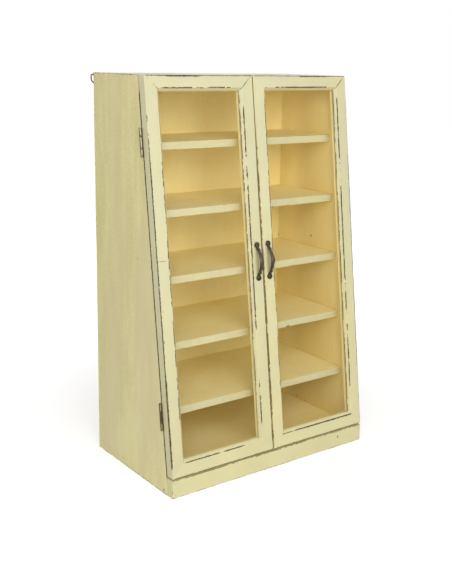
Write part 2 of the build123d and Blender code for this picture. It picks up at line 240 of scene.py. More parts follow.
blotches = cloud(spread, brushing, "blotch")
grit = noise(given["Vector"], *brushing["gritNoise"])
speckle = cloud(given["Vector"], brushing, "speckle", smooth=False)
swayed = plus(times(minus(streaks, 0.5), given["Streaks"]), times(minus(blotches, 0.5), given["Blotches"]))
deep = maths("ADD", given["Depth"], plus(swayed, speckle), clamp=True)
patchy = times(cloud(spread, brushing, "patch"), given["Patches"])
coated = blend(deep, given["Light Coat"], given["Deep Coat"])
feed(out, "Color", blend(patchy, coated, given["Patch Tint"]))
feed(out, "Roughness", ramp(deep, 0.0, 1.0, *brushing["roughness"]))
feed(out, "Height", plus(times(streaks, brushing["streakHeight"]), times(grit, brushing["gritHeight"])))

# An arris rubbed through to the dark wood, with chips about it. P and Q are two measures square to the arris,
# which runs where they are P0 and Q0; Along says where on it, and it is worn between From and To.
rubbing = {
    "easing": 0.006,          # at both ends
    "dashRange": (-0.05, 0.09), "raggedRange": (0.15, 0.85, 0.40, 1.35),
    "full": 0.72, "none": 1.10, "hair": 0.00002,   # shares of the reach, softened by a hair's breadth
    "chipRange": (0.74, 0.84), "chipReach": (0.0008, 0.0032),
}
given, out = newGroup(
    "wornArris",
    [("P", numberSocket, 0.0), ("P0", numberSocket, 0.0), ("Q", numberSocket, 0.0), ("Q0", numberSocket, 0.0),
     ("Along", numberSocket, 0.0), ("From", numberSocket, -9.0), ("To", numberSocket, 9.0),
     ("Width", numberSocket, 0.001), ("Cover", numberSocket, 0.5), ("Dashes", numberSocket, 0.5),
     ("Ragged", numberSocket, 0.5), ("Chips", numberSocket, 0.0)],
    [("Worn", numberSocket)])
wornArris = tree
offP = minus(given["P"], given["P0"])
offQ = minus(given["Q"], given["Q0"])
away = maths("SQRT", plus(times(offP, offP), times(offQ, offQ)))
started, going = [ramp(minus(given[one], given[other]), -rubbing["easing"], rubbing["easing"])
                  for one, other in (("Along", "From"), ("To", "Along"))]
dashed = ramp(minus(given["Dashes"], minus(1.0, given["Cover"])), *rubbing["dashRange"])
rubbed = times(dashed, started, going)
reach = times(given["Width"], rubbed, ramp(given["Ragged"], *rubbing["raggedRange"], smooth=False))
inner = minus(times(reach, rubbing["full"]), rubbing["hair"])
outer = plus(times(reach, rubbing["none"]), rubbing["hair"])
flakes = times(ramp(given["Chips"], *rubbing["chipRange"]), rubbed, fade(away, *rubbing["chipReach"]))
feed(out, "Worn", maths("MAXIMUM", fade(away, inner, outer), flakes))

# A knock, a nail head filled over, a short crack or a knot that shows through.
blot = {"raggedRange": (0.2, 0.8, 0.5, 1.3), "full": 0.6}
given, out = newGroup(
    "smallMark",
    [("Vector", vectorSocket, None), ("Place", vectorSocket, None), ("Stretch", vectorSocket, (1.0, 1.0, 1.0)),
     ("Radius", numberSocket, 0.002), ("Ragged", numberSocket, 0.5)],
    [("Mark", numberSocket)])
smallMark = tree
gone = stretch(stretch(given["Vector"], given["Place"], "SUBTRACT"), given["Stretch"])
gone = addNode("ShaderNodeVectorMath", {"operation": "LENGTH"}, {0: gone}).outputs["Value"]
edge = times(given["Radius"], ramp(given["Ragged"], *blot["raggedRange"], smooth=False))
feed(out, "Mark", fade(gone, times(edge, blot["full"]), edge))

# Grain of bare boards: long fibres and wide rings.
growth = {
    "fibreNoise": (1.0, 4.0, 0.6), "fibreShare": 0.55, "ringShare": 0.45, "range": (0.2, 0.8),
    "rings": {"Scale": 0.06, "Distortion": 9.0, "Detail": 3.0, "Detail Scale": 0.8},
}
given, out = newGroup(
    "bareGrain",
    [("Vector", vectorSocket, None), ("Fibre Scale", vectorSocket, (320.0, 320.0, 9.0)),
     ("Pale Wood", colourSocket, None), ("Dark Wood", colourSocket, None)],
    [("Color", colourSocket), ("Height", numberSocket)])
bareGrain = tree
combed = stretch(given["Vector"], given["Fibre Scale"])
fibres = noise(combed, *growth["fibreNoise"])
rings = addNode("ShaderNodeTexWave", {"wave_type": "BANDS", "bands_direction": "DIAGONAL"},
                {"Vector": combed, **growth["rings"]}).outputs["Fac"]
grain = plus(times(fibres, growth["fibreShare"]), times(rings, growth["ringShare"]))
feed(out, "Color", blend(ramp(grain, *growth["range"]), given["Pale Wood"], given["Dark Wood"]))
feed(out, "Height", fibres)
print("shared effects made")

# One yellow paint, in copies set lighter or darker for how the light falls on each part: painted light. The
# inside and shelf copies are brighter and warmer for the light inside the case, the doors' copies darker where
# the lamps fall full, and the top copies greyer for a painted grazing sheen.
colours = {
    "frontHigh": toLinear(214, 210, 171),     # the doors are greyer at the top
    "frontLow": toLinear(225, 216, 161),      # and yellower at the foot
    "frontPatch": toLinear(227, 220, 174),
    "sideLight": toLinear(235, 225, 169),
    "sideDeep": toLinear(216, 206, 145),
    "sidePatch": toLinear(223, 209, 163),
    "topLight": toLinear(208, 206, 179),
    "topDeep": toLinear(198, 194, 160),
    "insideLight": toLinear(251, 235, 170),
    "insideDeep": toLinear(247, 225, 153),
    "shelfLight": toLinear(252, 239, 180),
    "shelfDeep": toLinear(248, 229, 161),
    "darkWood": toLinear(43, 34, 21),
    "brownWood": toLinear(97, 76, 40),
    # dirt, and painted shade in gaps and seams, behind the handles and on the bevels that face the lamps
    "dirtAndShade": toLinear(137, 112, 52),
    "mustard": toLinear(204, 178, 104),       # a warm tint: painted warm shade in corners, gaps and recesses, and the yellowed arris between the doors
}
# How all paint wears and catches the light
paintWear = {
    "acrossGrain": 90.0, "zoneScale": 13.0, "zoneDetail": 2.0,   # zones and dashes are drawn out along the arris
    "dashScale": 105.0, "dashNoise": (1.0, 3.0, 0.7), "dashRange": (0.34, 0.66),
    "raggedNoise": (460.0, 2.0, 0.6), "raggedRange": (0.3, 0.7),
    "chipNoise": (620.0, 1.0), "chipRange": (0.25, 0.75),
    "woodNoise": (60.0, 2.0), "woodRange": (0.38, 0.66), "woodRoughness": 0.85, "woodDepth": 3.0,
    "relief": {"Strength": 0.35, "Distance": 0.0002}, "shine": {"Specular IOR Level": 0.35},
    "dustAndSheenSpan": (-0.0006, -0.0002, 0.0, 0.8),   # measured from the very top
}


def placeVectors():
    # Object coordinates, and the same measured along, behind and up the doors' slanted front.
    here = objectPlace()
    onFront = addNode("ShaderNodeMapping", {"vector_type": "TEXTURE"},
                      {"Vector": here, "Location": (0.0, cabinet["doorFront"], cabinet["doorLow"]),
                       "Rotation": (-cabinet["slant"], 0.0, 0.0)}).outputs[0]
    return here, split(onFront), split(here)


def unevenness(here, longWay):
    # Three fields that break the worn lines up: dashes that run the long way, a ragged border, and chips.
    slow, quick = [[scale if axis == longWay else paintWear["acrossGrain"] for axis in "XYZ"]
                   for scale in (paintWear["zoneScale"], paintWear["dashScale"])]
    zones = noise(stretch(here, slow), 1.0, paintWear["zoneDetail"])
    bits = noise(stretch(here, quick), *paintWear["dashNoise"])
    dashes = plus(times(zones, 0.5), times(bits, 0.5))
    return {"Dashes": ramp(dashes, *paintWear["dashRange"], smooth=False),
            "Ragged": cloud(here, paintWear, "ragged", smooth=False),
            "Chips": cloud(here, paintWear, "chip", smooth=False)}


def arris(fields, p, p0, q, q0, along, wide, cover, start=-9.0, end=9.0):
    return useGroup(wornArris, P=p, P0=p0, Q=q, Q0=q0, Along=along, Width=wide, Cover=cover,
                    From=start, To=end, **fields)["Worn"]


def marks(here, fields, places):
    # Each mark: place, radius, strength, and how much its length is drawn out on each axis.
    found = []
    for place, radius, strength, *drawn in places:
        mark = useGroup(smallMark, Vector=here, Place=place, Radius=radius, Ragged=fields["Ragged"],
                        Stretch=drawn[0] if drawn else (1.0, 1.0, 1.0))["Mark"]
        found.append(times(mark, strength))
    return found


def layCoat(here, brush, light, deep, patch=None, **amounts):
    return useGroup(brushedCoat, **{
        "Vector": here, "Brush Scale": brush, "Light Coat": colours[light], "Deep Coat": colours[deep],
        "Patch Tint": colours[patch or light], **amounts})


def overCoat(share, under, over):
    # One coat over another, which keeps the under coat's roughness and brush marks.
    return {"Color": blend(share, under["Color"], over["Color"]),
            "Roughness": under["Roughness"], "Height": under["Height"]}


def dustAndSheen(plain):
    # What faces up at the very top is greyed like the top panel: dust, and a painted sheen where the light grazes
    # it.
    low, high, *shares = paintWear["dustAndSheenSpan"]
    return ramp(plain["Z"], cabinet["high"] + low, cabinet["high"] + high, *shares)


def finishPaint(coat, worn, here, stains=()):
    # Puts the coat, its stains (a share and a colour each) and the worn places together on one shader.
    colour = coat["Color"]
    for share, tint in stains:
        colour = blend(share, colour, colours[tint])
    wood = blend(cloud(here, paintWear, "wood"), colours["darkWood"], colours["brownWood"])
    colour = blend(worn, colour, wood)
    rough = ramp(worn, 0.0, 1.0, coat["Roughness"], paintWear["woodRoughness"], smooth=False)
    height = minus(coat["Height"], times(worn, paintWear["woodDepth"]))
    surface(colour, rough, height, paintWear["relief"], **paintWear["shine"])


def onDoor(x, up):
    # A place on the doors' front face, from how far up the slope it is.
    return (x, cabinet["doorFront"] + up * sin(cabinet["slant"]), cabinet["doorLow"] + up * cos(cabinet["slant"]))


door = {
    # Where each bar is rubbed, as the picture shows it. Lengths run up the slope for the stiles and outwards from
    # the middle of the case for the rails. Each line: width, cover, from, to.
    "wear": {
        "left": {
            "stile_outer": {"outside": [(0.0026, 0.95, 0.02, 0.20), (0.0018, 0.92, 0.18, 0.62),
                                        (0.0012, 0.80, 0.60, 0.695)],
                            "moulding": [(0.0013, 0.62, 0.11, 0.62)],
                            "back": [(0.0014, 0.88, 0.0, 0.09), (0.0014, 0.88, 0.152, 0.614),
                                     (0.0014, 0.9, 0.675, 0.755)],
                            "lip": [(0.0009, 0.5, 0.10, 0.45)]},
            "stile_meeting": {"moulding": [(0.0015, 0.70, 0.062, 0.15), (0.0017, 0.72, 0.26, 0.705)],
                              "outside": [(0.0014, 0.70, 0.02, 0.60), (0.0018, 0.85, 0.02, 0.30)],
                              "lip": [(0.0010, 0.62, 0.06, 0.735)]},
            "rail_top": {"outside": [(0.0030, 0.80, 0.125, 0.205), (0.0015, 0.97, 0.0, 0.25)],
                         "moulding": [(0.0016, 0.60, 0.057, 0.212)]},
            "rail_bottom": {"moulding": [(0.0014, 0.88, 0.076, 0.124), (0.0014, 0.88, 0.137, 0.217)],
                            "outside": [(0.0010, 0.80, 0.0, 0.25)]},
        },
        "right": {
            "stile_outer": {"outside": [(0.0024, 0.97, 0.13, 0.60), (0.0010, 0.75, 0.0, 0.72)],
                            "moulding": [(0.0016, 0.68, 0.09, 0.72)],
                            "lip": [(0.0009, 0.66, 0.03, 0.735)]},
            "stile_meeting": {"moulding": [(0.0013, 0.58, 0.11, 0.72)], "outside": [(0.0011, 0.6, 0.02, 0.64)]},
            "rail_top": {"outside": [(0.0026, 0.70, 0.12, 0.20), (0.0014, 0.97, 0.0, 0.25)],
                         "moulding": [(0.0016, 0.64, 0.02, 0.20)]},
            "rail_bottom": {"moulding": [(0.0011, 0.5, -0.014, 0.071), (0.0017, 0.90, 0.060, 0.226)],
                            "outside": [(0.0010, 0.80, 0.0, 0.25)]},
        },
    },
    # how far each mitre has opened, from 0 to 1
    "cracks": {"left": {"top_outer": 0.40, "top_meeting": 0.85, "bottom_outer": 0.1, "bottom_meeting": 0.2},
               "right": {"top_outer": 0.75, "top_meeting": 0.45, "bottom_outer": 0.2, "bottom_meeting": 0.1}},
    "marks": {"door_left_stile_outer": [(onDoor(-0.238, 0.422), 0.0007, 0.8, (0.06, 1.0, 1.0)),
                                        (onDoor(-0.245, 0.327), 0.0006, 0.7, (0.12, 1.0, 1.0)),
                                        (onDoor(-0.2475, 0.270), 0.0022, 0.5, (1.0, 1.0, 0.5))]},
    "tints": ("frontHigh", "frontLow", "frontPatch"),
    "amounts": {"Streaks": 0.30, "Blotches": 0.55, "Patches": 0.45},
    "stileBrush": (150.0, 150.0, 7.0), "railBrush": (7.0, 150.0, 150.0),
    "yellowing": (0.10, 0.72, 0.85, 0.12),         # up the slope: from, to, and the share at each end
    "leftDoorShade": {"stile_outer": 0.35, "stile_meeting": 0.18, "rail_top": 0.22, "rail_bottom": 0.10},
    "crackWide": 0.0012, "crackSpan": (0.008, 0.027),
    "edgeFace": (0.0002, 0.0008),                  # how deep the edge faces' stains reach into the front
    "lipWarmShade": (0.0054, 0.0068, 0.0, 0.85), "lipSpan": (0.0006, 0.0002),
    "bevelSpan": (0.0002, 0.0010), "litBevelShade": 0.20, "bevelWarmShade": 0.5,
    "handleShadowBeside": (0.0015, 0.0075, 0.40), "handleShadowAbove": (0.016, 0.032),
    "gapWarmShade": (0.0004, 0.0020), "gapShade": (0.002, 0.009, 0.0, 0.8),
    "rubbedFrom": 0.0006, "rubbedTo": (0.0014, 0.0026), "rubbedBehind": (0.0, 0.0004),
    "rubbedUp": (0.62, 0.74, 0.85),
    "grimeWide": (0.0012, 0.0024), "grimeUp": (0.25, 0.60, 0.40, 0.80), "grimeEnds": (0.59, 0.68, 1.0, 0.35),
    "hingeDirt": (0.0185, 0.0200, 0.0, 0.4), "hingeDirtEnds": (0.745, 0.765),
    "footWarmShade": (0.0004, 0.0030),
}
for side, sign in (("left", -1), ("right", 1)):
    for bar, lines in door["wear"][side].items():
        name = f"door_{side}_{bar}"
        material = newMaterial(f"rubbedPaint_{name}")
        here, onFront, plain = placeVectors()
        across = times(onFront["X"], float(sign))   # from the middle of the case outwards
        up, behind = onFront["Z"], onFront["Y"]
        fromOutside = minus(cabinet["halfWidth"], across)
        fromMiddle = minus(across, cabinet["middleGap"] / 2)
        fromTop = minus(cabinet["doorLong"], up)
        inward = {"stile_outer": fromOutside, "stile_meeting": fromMiddle, "rail_top": fromTop,
                  "rail_bottom": up}[bar]
        standing = bar.startswith("stile")
        fields = unevenness(here, "Z" if standing else "X")
        bevelStart = cabinet["frameWide"] - cabinet["frameBevel"]
        arrises = {"outside": (inward, 0.0, behind, 0.0), "back": (inward, 0.0, behind, cabinet["doorThick"]),
                   "moulding": (inward, bevelStart, behind, 0.0),
                   "lip": (inward, cabinet["frameWide"], behind, cabinet["frameBevel"])}
        if bar == "rail_top":
            arrises["outside"] = (plain["Z"], cabinet["high"], behind, 0.0)
        worn = [arris(fields, *arrises[place], up if standing else across, *values)
                for place in lines for values in lines[place]]
        # cracks along the mitres, open where the glue has let go
        ends = {"stile_outer": (("top_outer", fromTop), ("bottom_outer", up)),
                "stile_meeting": (("top_meeting", fromTop), ("bottom_meeting", up)),
                "rail_top": (("top_outer", fromOutside), ("top_meeting", fromMiddle)),
                "rail_bottom": (("bottom_outer", fromOutside), ("bottom_meeting", fromMiddle))}[bar]
        for corner, fromEnd in ends:
            worn.append(arris(fields, apart(inward, fromEnd), 0.0, 0.0, 0.0, inward,
                              door["crackWide"], door["cracks"][side][corner], *door["crackSpan"]))
        worn += marks(here, fields, door["marks"].get(name, []))
        # painted warm shade in the mustard tint against the glass and on the bevels turned from the lamps; the
        # bevels that face the lamps are darkened as painted shade
        edgeFace = fade(inward, *door["edgeFace"])
        lipFace = times(ramp(behind, *door["lipWarmShade"]),
                        ramp(inward, *[cabinet["frameWide"] - short for short in door["lipSpan"]]))
        stains = [(lipFace, "mustard"), (dustAndSheen(plain), "topDeep")]
        if bar != "rail_bottom":
            facesLamps = name in ("door_left_stile_meeting", "door_right_stile_outer")
            bevelFace = ramp(inward, *[bevelStart + far for far in door["bevelSpan"]], 0.0,
                             door["litBevelShade" if facesLamps else "bevelWarmShade"])
            stains.append((bevelFace, "dirtAndShade" if facesLamps else "mustard"))
        if bar == "stile_meeting":
            # painted shadow of the handle on the door behind it
            handleShadow = times(fade(apart(across, cabinet["handleOut"]), *door["handleShadowBeside"]),
                            fade(apart(up, cabinet["handleUp"]), *door["handleShadowAbove"]))
            # the handle's painted shadow goes on, and so does painted shade in the gap between the doors: mustard
            # at its mouth, darker further in
            stains += [(handleShadow, "dirtAndShade"), (times(edgeFace, ramp(behind, *door["gapWarmShade"])), "mustard"),
                       (times(edgeFace, ramp(behind, *door["gapShade"])), "dirtAndShade")]
            if side == "right":   # the arris the other door rubs against has gone yellow
                edgeWide = ramp(fields["Ragged"], 0.0, 1.0, *door["rubbedTo"], smooth=False)
                rubbed = times(fade(inward, door["rubbedFrom"], edgeWide), fade(behind, *door["rubbedBehind"]))
                stains.append((times(rubbed, fade(up, *door["rubbedUp"])), "mustard"))
            else:
                grimy = times(fade(inward, *door["grimeWide"]), ramp(up, *door["grimeUp"]))
                stains.append((times(grimy, ramp(up, *door["grimeEnds"])), "dirtAndShade"))
        elif bar == "stile_outer":
            # painted shade in the seam between the door's outer edge and the case, fading out at the top
            stains.append((times(edgeFace, ramp(behind, *door["hingeDirt"]),
                                 fade(up, *door["hingeDirtEnds"])), "dirtAndShade"))
        elif bar == "rail_bottom":
            # painted warm shade on the lower edge face, in the gap above the plinth
            stains.append((times(edgeFace, ramp(behind, *door["footWarmShade"])), "mustard"))
        if side == "left":
            # the left door's bars are painted greyer and darker: painted shade
            stains.append((door["leftDoorShade"][bar], "topDeep"))
        coat = layCoat(here, door["stileBrush" if standing else "railBrush"], *door["tints"],
                       Depth=ramp(up, *door["yellowing"], smooth=False), **door["amounts"])
        finishPaint(coat, most(worn), here, stains)
        dress(material, name)

# Beads behind the glass: the brighter, warmer inside paint, painted light for the light inside, scuffed a little
beads = {
    "brush": (90.0, 90.0, 20.0), "amounts": {"Depth": 0.5, "Streaks": 0.5, "Blotches": 0.6},
    "scuffs": (0.66, 0.80, 0.0, 0.6),
}
material = newMaterial("beadPaint")
here = objectPlace()
fields = unevenness(here, "Z")
coat = layCoat(here, beads["brush"], "insideLight", "insideDeep", **beads["amounts"])
scuffs = ramp(times(fields["Dashes"], fields["Ragged"]), *beads["scuffs"])
finishPaint(coat, scuffs, here)
for side in ("left", "right"):
    dress(material, *[f"door_{side}_bead_{bead}" for bead in ("outer", "top", "meeting", "bottom")])
print("doors painted")

# Sides: the outer face is weathered, the inner face takes the brighter, warmer inside paint as painted light. The
# slanted front edge behind the door is darkened as painted shade, and the seam beside it gets painted warm shade.
sides = {
    "marks": {
        "side_left": [((-0.250, -0.116, 0.007), 0.0040, 0.45), ((-0.250, -0.020, 0.452), 0.0030, 0.25),
                      ((-0.250, 0.060, 0.610), 0.0020, 0.30), ((-0.250, 0.098, 0.233), 0.0022, 0.25)],
        "side_right": [((0.235, 0.1435, 0.425), 0.0035, 0.8), ((0.235, 0.026, 0.441), 0.0030, 0.7),
                       ((0.235, 0.055, 0.044), 0.0030, 0.4), ((0.235, 0.025, 0.040), 0.0025, 0.5)],
    },
    # width and cover, and for the front arris where it starts and ends
    "frontWear": (0.0017, 0.94, 0.035, 0.768), "backWear": (0.0010, 0.40),
    "topWear": (0.0012, 0.45), "footWear": (0.0014, 0.50),
    "outerShift": (0.0, 0.055, 0.0),   # brings the patches to where the picture has them
    "outerBrush": (70.0, 70.0, 5.0), "outerDepth": (0.02, 0.42, 0.10, 0.60),
    "outerAmounts": {"Streaks": 0.30, "Blotches": 0.50, "Patches": 0.55, "Patch Scale": (11.0, 11.0, 2.6)},
    "innerBrush": (120.0, 120.0, 5.0), "innerAmounts": {"Depth": 0.6, "Streaks": 0.4, "Blotches": 0.5},
    "innerFace": (0.2352, 0.2355),
    "hiddenSpan": (0.0002, 0.0012, 0.6), "hiddenEnds": (0.765, 0.775),
    "seamSpan": (0.0008, 0.0032, 0.60),
    "deepIn": (0.04, 0.13), "deepEnds": (0.62, 0.74), "innerShade": (0.26, 0.52), "innerShadeEnds": (0.050, 0.105, 1.0, 0.20),
}
seam = cabinet["doorThick"] + cabinet["doorGap"]
for name, sign in (("side_left", -1), ("side_right", 1)):
    material = newMaterial(f"weatheredPaint_{name}")
    here, onFront, plain = placeVectors()
    across = times(plain["X"], float(sign))
    upright = unevenness(here, "Z")
    level = unevenness(here, "Y")
    worn = [arris(fields, across, cabinet["halfWidth"], measure, place, along, *sides[wear])
            for fields, measure, place, along, wear in (
                (upright, onFront["Y"], seam, plain["Z"], "frontWear"),
                (upright, plain["Y"], cabinet["back"], plain["Z"], "backWear"),
                (level, plain["Z"], cabinet["high"], plain["Y"], "topWear"),
                (level, plain["Z"], 0.0, plain["Y"], "footWear"))]
    worn += marks(here, upright, sides["marks"][name])
    outside = layCoat(stretch(here, sides["outerShift"], "ADD"), sides["outerBrush"],
                      "sideLight", "sideDeep", "sidePatch", Depth=ramp(plain["Z"], *sides["outerDepth"]),
                      **sides["outerAmounts"])
    inside = layCoat(here, sides["innerBrush"], "insideLight", "insideDeep", **sides["innerAmounts"])
    isInner = fade(across, *sides["innerFace"])
    # painted shade under the door and along the seam
    hidden, sideSeamShade = [fade(onFront["Y"], seam + near, seam + far, share)
                         for near, far, share in (sides["hiddenSpan"], sides["seamSpan"])]
    hidden = times(hidden, fade(plain["Z"], *sides["hiddenEnds"]))
    sideSeamShade = times(sideSeamShade, minus(1.0, isInner))
    # the inner face is painted darker all over and more towards the back, as painted shade, though less in the
    # corner itself
    deepIn = times(ramp(onFront["Y"], *sides["deepIn"]), fade(plain["Z"], *sides["deepEnds"]))
    innerShade = times(isInner, ramp(deepIn, 0.0, 1.0, *sides["innerShade"], smooth=False),
                 ramp(plain["Y"], *sides["innerShadeEnds"]))
    finishPaint(overCoat(isInner, outside, inside), most(worn), here,
                [(hidden, "dirtAndShade"), (innerShade, "mustard"), (sideSeamShade, "mustard"), (dustAndSheen(plain), "topDeep")])
    dress(material, name)

# Plinth board: rubbed along its top arris; the ledge under the doors takes the mustard tint as painted warm shade
# in the gap
plinth = {
    "marks": [((-0.2437, -0.1475, 0.030), 0.0018, 0.35), ((-0.2437, -0.1475, 0.007), 0.0018, 0.35),
              ((0.1816, -0.1475, 0.0232), 0.0022, 0.8, (1.0, 1.0, 0.6)), ((0.2437, -0.1475, 0.030), 0.0016, 0.3),
              ((-0.1020, -0.1475, 0.0150), 0.0012, 0.3), ((0.0550, -0.1475, 0.0090), 0.0014, 0.3)],
    "topWear": (0.0010, 0.62), "endWear": (0.0010, 0.45), "footWear": (0.0014, 0.42),
    "brush": (6.0, 140.0, 140.0),
    "amounts": {"Depth": 0.85, "Streaks": 0.3, "Blotches": 0.5, "Patches": 0.6},
    "ledgeUp": (0.0364, 0.0369), "ledgeIn": (-0.1464, -0.1425, 0.0, 0.55),
}
material = newMaterial("plinthPaint")
here = objectPlace()
plain = split(here)
fields = unevenness(here, "X")
endOut = maths("ABSOLUTE", plain["X"])
worn = [arris(fields, plain["Y"], cabinet["doorFront"], measure, place, along, *plinth[wear])
        for measure, place, along, wear in (
            (plain["Z"], cabinet["plinthHigh"], plain["X"], "topWear"),
            (endOut, cabinet["halfWidth"], plain["Z"], "endWear"),
            (plain["Z"], 0.0, plain["X"], "footWear"))]
worn += marks(here, fields, plinth["marks"])
coat = layCoat(here, plinth["brush"], *door["tints"], **plinth["amounts"])
ledge = times(ramp(plain["Z"], *plinth["ledgeUp"]), ramp(plain["Y"], *plinth["ledgeIn"]))
finishPaint(coat, most(worn), here, [(ledge, "mustard")])
dress(material, "plinth_board")

# Top and bottom panels; the top one is greyer on top, a painted grazing sheen, and warm underneath like the rest
# of the inside
panels = {
    "frontWear": (0.0012, 0.55), "backWear": (0.0012, 0.5), "brush": (5.0, 120.0, 120.0),
    "amounts": {"Depth": 0.45, "Streaks": 0.4, "Blotches": 0.6},
    "underAmounts": {"Depth": 0.3, "Streaks": 0.4, "Blotches": 0.5}, "underSpan": (0.0002, 0.0005),
}
for name, tints in (("top_panel", ("topLight", "topDeep")), ("bottom_panel", ("shelfLight", "shelfDeep"))):
    material = newMaterial(f"panelPaint_{name}")
    here, onFront, plain = placeVectors()
    fields = unevenness(here, "X")
    worn = [arris(fields, plain["Z"], cabinet["high"], measure, place, plain["X"], *panels[wear])
            for measure, place, wear in ((onFront["Y"], seam, "frontWear"),
                                         (plain["Y"], cabinet["back"], "backWear"))]
    coat = layCoat(here, panels["brush"], *tints, **panels["amounts"])
    inside = layCoat(here, panels["brush"], "insideLight", "insideDeep", **panels["underAmounts"])
    underside = cabinet["high"] - cabinet["boardThick"]
    under = fade(plain["Z"], *[underside + far for far in panels["underSpan"]])
    finishPaint(overCoat(under, coat, inside), most(worn), here)
    dress(material, name)

# Shelves: the bright warm inside paint, the doors' paint on the front edge, an arris knocked here and there.
# Behind the meeting stiles the front edge keeps more of the warm paint, as painted shade of the stiles.
shelves = {
    "marks": {2: [(0.0895, 0.0042, 1.0, (0.45, 1.0, 1.0))]},   # on the lower front arris of that shelf, by its X
    "upperWear": (0.0009, 0.20), "lowerWear": (0.0009, 0.24), "brush": (6.0, 120.0, 120.0),
    "insideAmounts": {"Depth": 0.5, "Streaks": 0.4, "Blotches": 0.5},
    "frontAmounts": {"Depth": 0.6, "Streaks": 0.3, "Blotches": 0.4, "Patches": 0.5},
    "faded": (0.0265, 0.0285, 0.45, 1.0), "frontSpan": (0.0003, 0.0010), "frontDirt": 0.07,
}
for number in range(1, 6):
    low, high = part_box(f"shelf_{number}")
    material = newMaterial(f"shelfPaint_{number}")
    here = objectPlace()
    plain = split(here)
    fields = unevenness(here, "X")
    worn = [arris(fields, plain["Y"], low.y, plain["Z"], place, plain["X"], *shelves[wear])
            for place, wear in ((high.z, "upperWear"), (low.z, "lowerWear"))]
    knocks = shelves["marks"].get(number, [])
    worn += marks(here, fields, [((x, low.y, low.z), *rest) for x, *rest in knocks])
    inside = layCoat(here, shelves["brush"], "shelfLight", "shelfDeep", **shelves["insideAmounts"])
    front = layCoat(here, shelves["brush"], *door["tints"], **shelves["frontAmounts"])
    # painted shade of the meeting stiles on the front edge, near the middle
    faded = ramp(maths("ABSOLUTE", plain["X"]), *shelves["faded"])
    isFront = times(fade(plain["Y"], *[low.y + far for far in shelves["frontSpan"]]), faded)
    finishPaint(overCoat(isFront, inside, front), most(worn), here,
                [(times(isFront, shelves["frontDirt"]), "dirtAndShade")])
    dress(material, f"shelf_{number}")

# Back panel: painted inside, thin wash over bare ply behind
backBoard = {
    "brush": (60.0, 60.0, 4.0), "amounts": {"Depth": 0.5, "Streaks": 0.35, "Blotches": 0.5},
    "ply": {"Fibre Scale": (160.0, 160.0, 5.0), "Pale Wood": toLinear(205, 178, 128),
            "Dark Wood": toLinear(160, 126, 80)},
    "washNoise": (9.0, 4.0, 0.65), "washRange": (0.3, 0.75, 0.35, 0.85), "rearFace": (0.1455, 0.1465),
}
material = newMaterial("backPanelPaint")
here = objectPlace()
plain = split(here)
coat = layCoat(here, backBoard["brush"], "insideLight", "insideDeep", **backBoard["amounts"])
ply = useGroup(bareGrain, Vector=here, **backBoard["ply"])
washed = blend(cloud(here, backBoard, "wash"), ply["Color"], colours["sideLight"])
colour = blend(ramp(plain["Y"], *backBoard["rearFace"]), coat["Color"], washed)
surface(colour, coat["Roughness"], plus(coat["Height"], ply["Height"]), paintWear["relief"])
dress(material, "back_panel")
print("case painted")

dowelWood = {
    "grain": {"Fibre Scale": (30.0, 300.0, 300.0), "Pale Wood": toLinear(214, 184, 134),
              "Dark Wood": toLinear(168, 132, 84)},
    "roughness": 0.7, "relief": {"Strength": 0.3, "Distance": 0.0001},
}
material = newMaterial("dowelWood")
turned = useGroup(bareGrain, Vector=objectPlace(), **dowelWood["grain"])
surface(turned["Color"], dowelWood["roughness"], turned["Height"], dowelWood["relief"])
dress(material, "panel_dowels", "shelf_dowels")

# Hinges: ups run up the slope, and each pair is where the old paint begins to show and where it is whole
hinge = {
    "ups": {"lower": 0.121, "upper": 0.64485}, "pinOut": 0.2533, "pinBehind": 0.0205,
    "jointFromMiddle": 0.011, "halfLong": 0.027,
    "outward": (0.0004, 0.0012), "forward": (0.0013, 0.0020), "jointBare": (0.0008, 0.0024),
    "endBare": (0.0014, 0.0004), "middleBare": (0.010, 0.012),
    "peelNoise": (240.0, 3.0, 0.6), "peelRange": (0.30, 0.44),
}


def hingePaint(level):
    # Left on the barrel's outer quarter, where the brush went over the shut door, and rubbed off at the joints.
    here, onFront, plain = placeVectors()
    outward = minus(maths("ABSOLUTE", plain["X"]), hinge["pinOut"])
    forward = minus(hinge["pinBehind"], onFront["Y"])
    fromMiddle = apart(onFront["Z"], hinge["ups"][level])
    fromJoint = apart(fromMiddle, hinge["jointFromMiddle"])
    painted = times(ramp(outward, *hinge["outward"]), ramp(forward, *hinge["forward"]),
                    ramp(fromJoint, *hinge["jointBare"]),
                    fade(fromMiddle, *[hinge["halfLong"] - short for short in hinge["endBare"]]))
    if level == "lower":   # the middle knuckle has lost it all
        painted = times(painted, ramp(fromMiddle, *hinge["middleBare"]))
    return times(painted, cloud(here, hinge, "peel"))


ageing = {
    "beatenNoise": (330.0, 3.0, 0.55), "fineNoise": (1500.0, 2.0, 0.6), "toneRange": (0.35, 0.65),
    "beatenShare": 0.7, "fineShare": 0.3, "fineHeight": 0.35,
    "rustNoise": (190.0, 4.0, 0.7), "rustFrom": 0.72, "rustTo": 0.80, "rustGain": 0.4, "rustShare": 0.8,
    "gripSpan": (0.004, 0.024, 0.55), "hollows": 0.14, "ridges": -0.06, "paintRoughness": 0.55,
    "relief": {"Strength": 0.5, "Distance": 0.0002},
}


